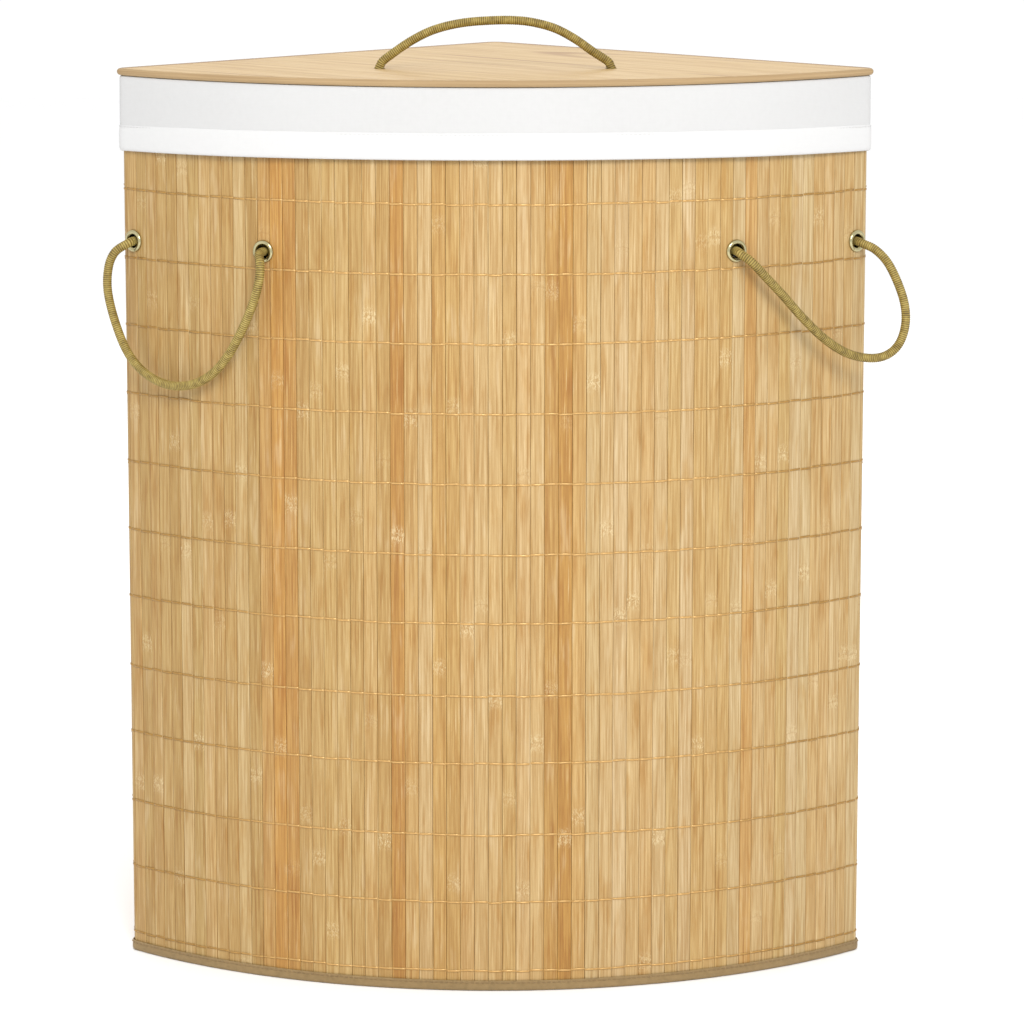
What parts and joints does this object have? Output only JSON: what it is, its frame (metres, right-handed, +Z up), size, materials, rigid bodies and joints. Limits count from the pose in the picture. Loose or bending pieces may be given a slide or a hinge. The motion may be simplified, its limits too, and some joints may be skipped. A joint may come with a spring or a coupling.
{
  "type": "laundry hamper",
  "caption": "Corner laundry hamper with a quarter-round slatted front, lift-out cloth liner, rope handles and a loose flat lid.",
  "frame": {"origin": "on the floor, under the middle of the basket's width and depth", "axes": "+Z up, -Y towards the round front, +Y towards the right-angled back corner, +X to the right seen from the front"},
  "size_m": [0.5378, 0.3582, 0.6396],
  "materials": {
    "bamboo_slats": "satin bamboo strips, varied from pale straw to orange tan",
    "backing_cloth": "plain natural cloth",
    "hoop_wire": "drawn wire",
    "binding_tape": "woven brown tape",
    "board": "pressed fibreboard",
    "eyelet_metal": "pale polished metal",
    "rope": "ribbed olive-gold cord",
    "lid_veneer": "satin light veneer, grain running left to right",
    "lid_edge": "rounded edge strip",
    "liner_cotton": "white plain-weave cotton"
  },
  "bodies": {
    "basket": {"front_slat_mat": "bamboo_slats", "left_slat_mat": "bamboo_slats", "right_slat_mat": "bamboo_slats", "backing_cloth": "backing_cloth", "bottom_wire_hoop": "hoop_wire", "top_wire_hoop": "hoop_wire", "bottom_binding": "binding_tape", "top_binding": "binding_tape", "base_cloth": "backing_cloth", "base_board": "board", "left_outer_eyelet": "eyelet_metal", "left_inner_eyelet": "eyelet_metal", "right_inner_eyelet": "eyelet_metal", "right_outer_eyelet": "eyelet_metal", "left_outer_eyelet_washer": "eyelet_metal", "left_inner_eyelet_washer": "eyelet_metal", "right_inner_eyelet_washer": "eyelet_metal", "right_outer_eyelet_washer": "eyelet_metal", "left_outer_rope_knot": "rope", "left_inner_rope_knot": "rope", "right_inner_rope_knot": "rope", "right_outer_rope_knot": "rope"},
    "liner": {"liner_cuff": "liner_cotton", "liner_cuff_hem": "liner_cotton", "liner_front_panel": "liner_cotton", "liner_right_panel": "liner_cotton", "liner_left_panel": "liner_cotton", "liner_floor": "liner_cotton"},
    "lid": {"lid_board": "board", "lid_top_veneer": "lid_veneer", "lid_edge_band": "lid_edge", "lid_left_rope_knot": "rope", "lid_right_rope_knot": "rope"},
    "lid_handle": {"lid_handle_rope": "rope"},
    "left_handle": {"left_handle_rope": "rope"},
    "right_handle": {"right_handle_rope": "rope"}
  },
  "joints": [
    {"name": "liner_lift", "type": "slide", "parent": "basket", "child": "liner", "axis": [0, 0, 1], "range_m": [0, 0.62]},
    {"name": "lid_lift", "type": "slide", "parent": "liner", "child": "lid", "axis": [0, 0, 1], "range_m": [0, 0.2]},
    {"name": "lid_handle_hinge", "type": "hinge", "parent": "lid", "child": "lid_handle", "pos_m": [0, -0.07605, 0.6095], "axis": [1, 0, 0], "range_deg": [-80, 80], "stiffness_Nm_per_rad": 0.02},
    {"name": "left_handle_hinge", "type": "hinge", "parent": "basket", "child": "left_handle", "pos_m": [-0.19978, -0.11668, 0.4885], "axis": [-0.8286, 0.5598, 0], "range_deg": [0, 115]},
    {"name": "right_handle_hinge", "type": "hinge", "parent": "basket", "child": "right_handle", "pos_m": [0.2029, -0.11516, 0.4885], "axis": [-0.8231, -0.5678, 0], "range_deg": [0, 115]}
  ]
}
